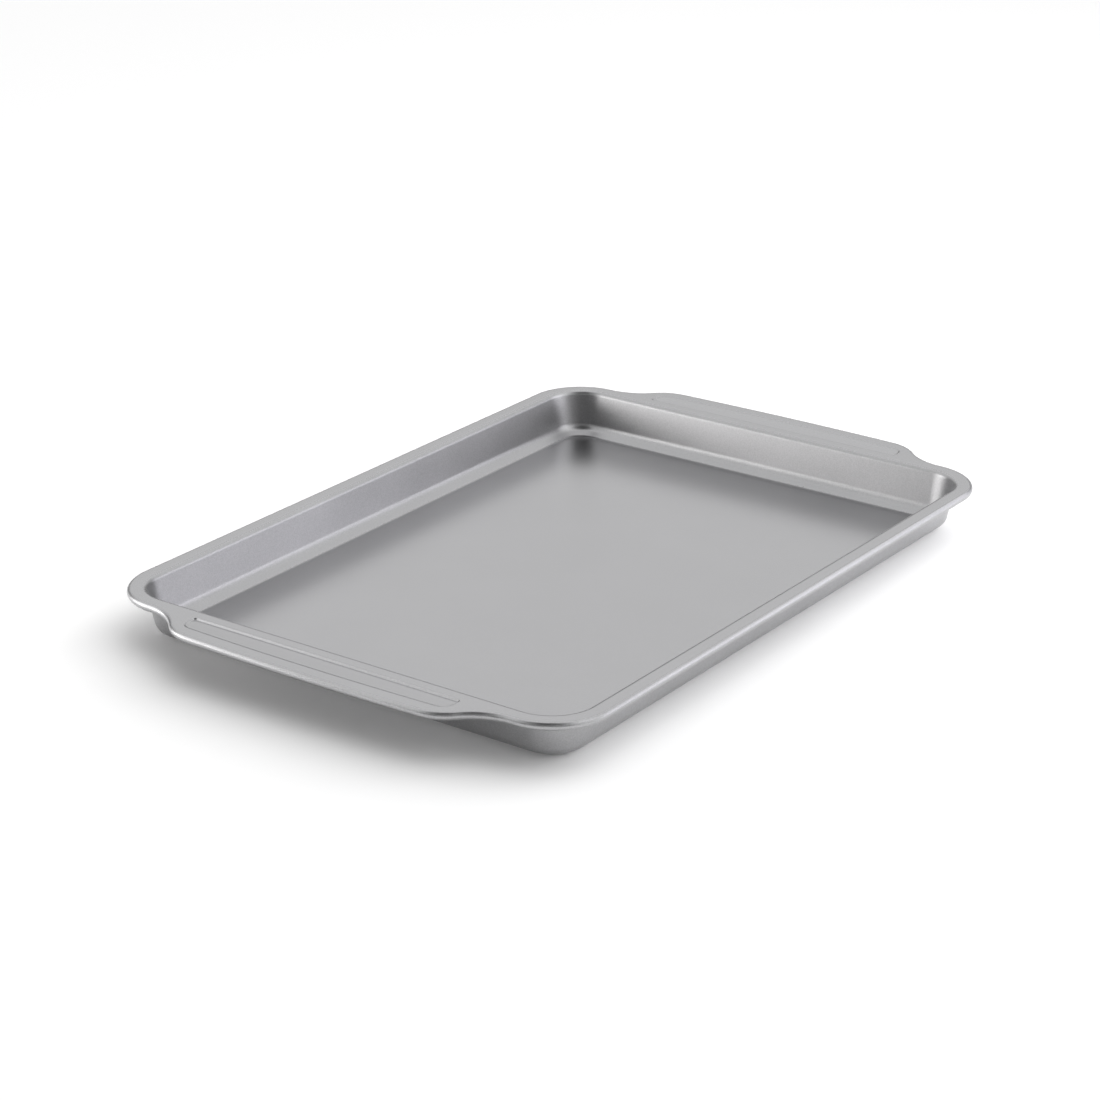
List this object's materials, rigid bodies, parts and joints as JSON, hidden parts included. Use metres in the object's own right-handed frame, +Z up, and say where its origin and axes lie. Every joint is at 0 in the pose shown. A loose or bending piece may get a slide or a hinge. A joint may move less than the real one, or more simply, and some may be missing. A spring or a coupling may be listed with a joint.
{
  "type": "cookie sheet",
  "caption": "Shallow oblong baking tray of coated sheet steel with sloped walls, a rolled wired rim and a flat grip handle with a pressed thumb panel at each short end.",
  "frame": {"origin": "under the middle of the floor, on the surface that the tray stands on", "axes": "+X along the long sides towards one handle, +Y towards a long side, +Z up out of the tray"},
  "size_m": [0.44, 0.2864, 0.0254],
  "materials": {
    "coated_steel": "satin silver-grey metallic non-stick coating with a fine grain",
    "wire_steel": "plain drawn steel wire"
  },
  "bodies": {
    "root": {"tray_shell": "coated_steel", "rim_wire": "wire_steel"}
  },
  "joints": []
}
